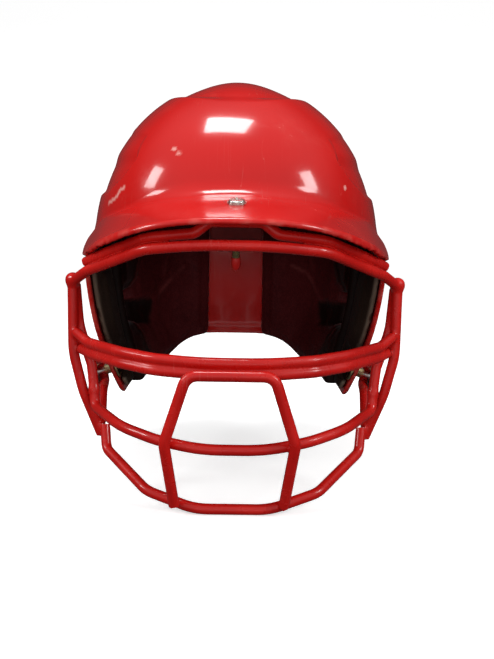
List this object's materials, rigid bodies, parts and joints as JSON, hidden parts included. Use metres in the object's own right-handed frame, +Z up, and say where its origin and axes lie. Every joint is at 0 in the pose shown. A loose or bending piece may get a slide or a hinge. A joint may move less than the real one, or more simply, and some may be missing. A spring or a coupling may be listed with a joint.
{
  "type": "batting helmet",
  "caption": "Glossy red batting helmet with a brim, ear flaps, foam lining and a bolted, vinyl-coated wire face guard.",
  "frame": {"origin": "bottom centre of the whole helmet's box, under the chin bar's lowest line", "axes": "+X to the right of a viewer who faces the helmet, +Y to its back, +Z up as it is worn"},
  "size_m": [0.229, 0.3098, 0.2918],
  "materials": {
    "red_shell": "glossy moulded ABS with fine scratches",
    "red_vinyl_coat": "glossy dip-coated vinyl over steel wire",
    "maroon_lining": "satin-faced foam lining",
    "black_foam": "matt closed-cell foam",
    "zinc_steel": "zinc-plated steel",
    "zinc_nut": "yellow zinc plating",
    "red_vinyl_cap": "soft vinyl cap",
    "red_block": "satin moulded plastic"
  },
  "bodies": {
    "helmet": {"brim_clamp_block": "red_block", "brim_clamp_washer": "zinc_steel", "brim_nut": "zinc_nut", "crown_pad": "maroon_lining", "ear_pad_left": "black_foam", "ear_pad_right": "black_foam", "front_pad": "maroon_lining", "guard_brim_wire": "red_vinyl_coat", "guard_inner_upright_left": "red_vinyl_coat", "guard_inner_upright_right": "red_vinyl_coat", "guard_lower_bar": "red_vinyl_coat", "guard_lower_eye_bar": "red_vinyl_coat", "guard_middle_bar": "red_vinyl_coat", "guard_mount_loop_left": "red_vinyl_coat", "guard_mount_loop_right": "red_vinyl_coat", "guard_nose_loop": "red_vinyl_coat", "guard_top_bar": "red_vinyl_coat", "guard_upper_eye_bar": "red_vinyl_coat", "guard_upright_left": "red_vinyl_coat", "guard_upright_right": "red_vinyl_coat", "rear_pad_left": "maroon_lining", "rear_pad_right": "maroon_lining", "shell": "red_shell", "side_nut_left": "zinc_nut", "side_nut_right": "zinc_nut"},
    "side_washer_left": {"side_washer_left": "zinc_steel"},
    "side_screw_left": {"side_screw_left": "zinc_steel"},
    "side_washer_right": {"side_washer_right": "zinc_steel"},
    "side_screw_right": {"side_screw_right": "zinc_steel"},
    "brim_head_washer": {"brim_head_washer": "zinc_steel"},
    "brim_screw": {"brim_screw": "zinc_steel", "brim_screw_cap": "red_vinyl_cap"}
  },
  "joints": [
    {"name": "brim_screw_backs_out", "type": "slide", "parent": "helmet", "child": "brim_head_washer", "axis": [0, -0.309, 0.9511], "range_m": [0, 0.0056]},
    {"name": "brim_screw_turns", "type": "hinge", "parent": "brim_head_washer", "child": "brim_screw", "pos_m": [0, -0.1182, 0.19802], "axis": [0, -0.309, 0.9511], "range_deg": [0, 2520]},
    {"name": "side_screw_right_backs_out", "type": "slide", "parent": "helmet", "child": "side_washer_right", "axis": [0.9494, 0, -0.3142], "range_m": [0, 0.0096]},
    {"name": "side_screw_right_turns", "type": "hinge", "parent": "side_washer_right", "child": "side_screw_right", "pos_m": [0.09344, -0.0092, 0.0749], "axis": [0.9494, 0, -0.3142], "range_deg": [0, 4320]},
    {"name": "side_screw_left_backs_out", "type": "slide", "parent": "helmet", "child": "side_washer_left", "axis": [-0.9494, 0, -0.3142], "range_m": [0, 0.0096]},
    {"name": "side_screw_left_turns", "type": "hinge", "parent": "side_washer_left", "child": "side_screw_left", "pos_m": [-0.09344, -0.0092, 0.0749], "axis": [-0.9494, 0, -0.3142], "range_deg": [0, 4320]}
  ],
  "couplings": [
    {"joint": "brim_screw_turns", "follows": "brim_screw_backs_out", "rad_per_m": 7853.9},
    {"joint": "side_screw_right_turns", "follows": "side_screw_right_backs_out", "rad_per_m": 7853.9},
    {"joint": "side_screw_left_turns", "follows": "side_screw_left_backs_out", "rad_per_m": 7853.9}
  ]
}
